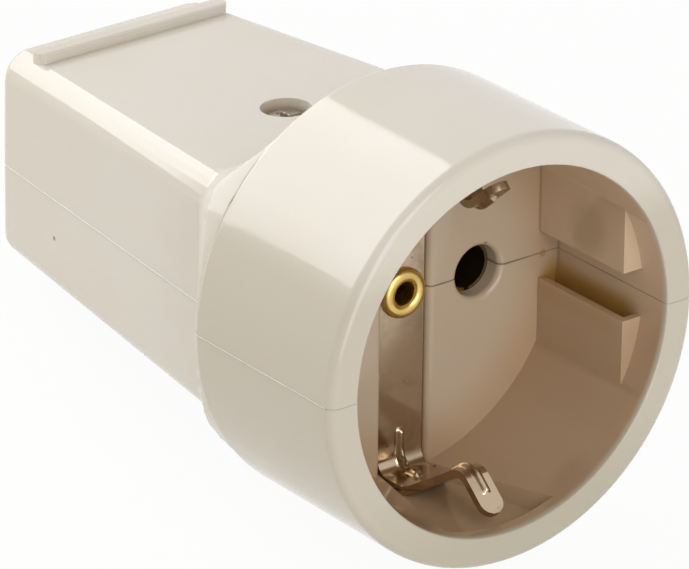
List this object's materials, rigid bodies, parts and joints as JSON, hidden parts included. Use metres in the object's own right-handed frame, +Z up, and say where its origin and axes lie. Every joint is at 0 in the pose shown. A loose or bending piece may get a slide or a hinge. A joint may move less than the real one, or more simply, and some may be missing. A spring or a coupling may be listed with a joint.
{
  "type": "inline socket connector",
  "caption": "Inline mains socket with a round recess, spring earth clips and guide ribs, in a split moulded housing whose tapered handle holds the terminals and cord clamp.",
  "frame": {"origin": "middle of the bounding box's underside, on the surface that the part lies on", "axes": "+Z up; +Y back along the handle, with the socket's axis tilted so that the mouth looks towards -Y and a little up; +X to the right when looking into the mouth"},
  "size_m": [0.0472, 0.0748, 0.0504],
  "materials": {
    "housing": "glossy ivory moulding",
    "inner_plastic": "plain ivory moulding",
    "nickel_plate": "nickel plate",
    "zinc_steel": "zinc plate",
    "spring_steel": "plain spring steel",
    "brass": "bare brass"
  },
  "bodies": {
    "root": {"upper_shell": "housing", "lower_shell": "housing", "cord_clamp": "inner_plastic", "earth_strap": "nickel_plate", "earth_rivet": "brass", "earth_terminal": "brass", "earth_washer": "nickel_plate", "earth_screw": "nickel_plate", "housing_screw": "zinc_steel", "housing_nut": "zinc_steel", "left_sleeve": "brass", "right_sleeve": "brass", "left_sleeve_spring": "spring_steel", "right_sleeve_spring": "spring_steel", "left_terminal": "brass", "right_terminal": "brass", "left_terminal_screw": "nickel_plate", "right_terminal_screw": "nickel_plate", "left_clamp_screw": "zinc_steel", "right_clamp_screw": "zinc_steel"}
  },
  "joints": []
}
